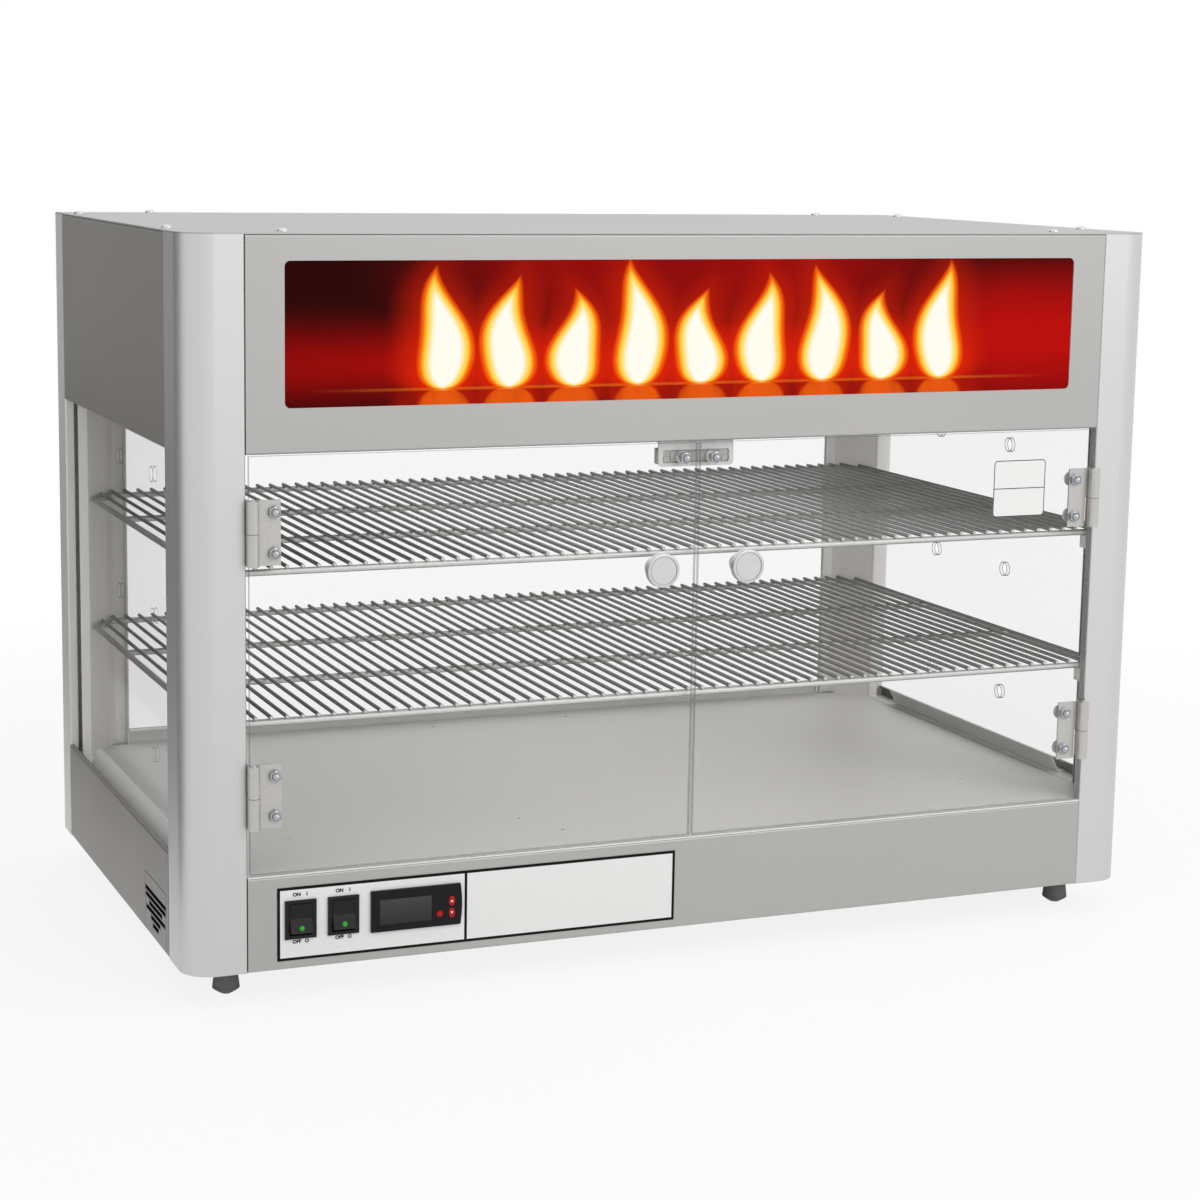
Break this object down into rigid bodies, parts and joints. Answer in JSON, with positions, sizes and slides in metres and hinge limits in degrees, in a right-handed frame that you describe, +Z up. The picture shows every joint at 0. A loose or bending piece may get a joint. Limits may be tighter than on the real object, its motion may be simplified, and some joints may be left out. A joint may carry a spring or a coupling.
{
  "type": "heated display case",
  "caption": "Countertop heated display case: folded steel shell, clear panes, two wire racks, hinged glass doors, lit sign and a control plate.",
  "frame": {"origin": "centre of the bounding box at the underside of the feet", "axes": "+X along the width to the viewer's right, +Y from the doors to the back, +Z up"},
  "size_m": [0.854, 0.5074, 0.6056],
  "materials": {
    "stainless_satin": "brushed",
    "stainless_dark": "brushed",
    "clear_glass": "polished",
    "clear_pane": "polished",
    "rack_wire": "polished",
    "polished_fixings": "polished",
    "black_plastic": "satin",
    "green_lens": "gloss",
    "printed_plate": "satin",
    "lit_sign": "gloss",
    "lamp_white": "satin",
    "red_buttons": "satin",
    "display_window": "gloss",
    "magnet_plastic": "satin",
    "rubber": "matte",
    "heater_sheath": "satin"
  },
  "bodies": {
    "case": {"base_pan": "stainless_dark", "front_base_panel": "stainless_satin", "left_base_panel": "stainless_satin", "right_base_panel": "stainless_satin", "rear_base_panel": "stainless_satin", "vent_plates": "stainless_satin", "deck": "stainless_satin", "deck_rails": "stainless_dark", "pane_retainers": "stainless_satin", "left_front_post": "stainless_satin", "right_front_post": "stainless_satin", "left_rear_post": "stainless_satin", "right_rear_post": "stainless_satin", "corner_covers": "stainless_satin", "left_side_pane": "clear_pane", "right_side_pane": "clear_pane", "rear_pane": "clear_pane", "front_header": "stainless_satin", "left_header_panel": "stainless_satin", "right_header_panel": "stainless_satin", "rear_header_panel": "stainless_satin", "ceiling_panel": "stainless_satin", "top_cover": "stainless_satin", "top_screws": "polished_fixings", "sign_panel": "lit_sign", "lamp_tube": "lamp_white", "lamp_holders": "lamp_white", "lamp_driver": "stainless_dark", "upper_rack": "rack_wire", "lower_rack": "rack_wire", "rack_brackets": "stainless_satin", "hinge_fixed_leaves": "polished_fixings", "hinge_pins": "polished_fixings", "catch_bracket": "stainless_satin", "catch_housing": "magnet_plastic", "control_plate": "printed_plate", "switch_housings": "black_plastic", "controller_body": "black_plastic", "controller_window": "display_window", "heating_element": "heater_sheath", "limit_thermostat": "black_plastic", "temperature_probe": "heater_sheath", "cord_gland": "black_plastic", "feet": "rubber", "foot_screws": "polished_fixings"},
    "left_door": {"left_door_glass": "clear_glass", "left_hinge_leaves": "polished_fixings", "left_door_fixings": "polished_fixings", "left_strike": "polished_fixings", "left_knob": "polished_fixings"},
    "right_door": {"right_door_glass": "clear_glass", "right_hinge_leaves": "polished_fixings", "right_door_fixings": "polished_fixings", "right_strike": "polished_fixings", "right_knob": "polished_fixings"},
    "light_switch": {"light_rocker": "black_plastic"},
    "heat_switch": {"heat_rocker": "black_plastic"},
    "up_key": {"up_button": "red_buttons"},
    "down_key": {"down_button": "red_buttons"},
    "set_key": {"set_button": "red_buttons"}
  },
  "joints": [
    {"name": "left_door_hinge", "type": "hinge", "parent": "case", "child": "left_door", "pos_m": [-0.3743, -0.23995, 0.2727], "axis": [0, 0, -1], "range_deg": [0, 170]},
    {"name": "right_door_hinge", "type": "hinge", "parent": "case", "child": "right_door", "pos_m": [0.3743, -0.23995, 0.2727], "axis": [0, 0, 1], "range_deg": [0, 170]},
    {"name": "light_switch_rock", "type": "hinge", "parent": "case", "child": "light_switch", "pos_m": [-0.3359, -0.23185, 0.0682], "axis": [1, 0, 0], "range_deg": [0, 18]},
    {"name": "heat_switch_rock", "type": "hinge", "parent": "case", "child": "heat_switch", "pos_m": [-0.3009, -0.23185, 0.0682], "axis": [1, 0, 0], "range_deg": [0, 18]},
    {"name": "up_key_press", "type": "slide", "parent": "case", "child": "up_key", "axis": [0, 1, 0], "range_m": [0, 0.0005], "stiffness_N_per_m": 600, "springref_m": -0.0005},
    {"name": "down_key_press", "type": "slide", "parent": "case", "child": "down_key", "axis": [0, 1, 0], "range_m": [0, 0.0005], "stiffness_N_per_m": 600, "springref_m": -0.0005},
    {"name": "set_key_press", "type": "slide", "parent": "case", "child": "set_key", "axis": [0, 1, 0], "range_m": [0, 0.0005], "stiffness_N_per_m": 600, "springref_m": -0.0005}
  ]
}
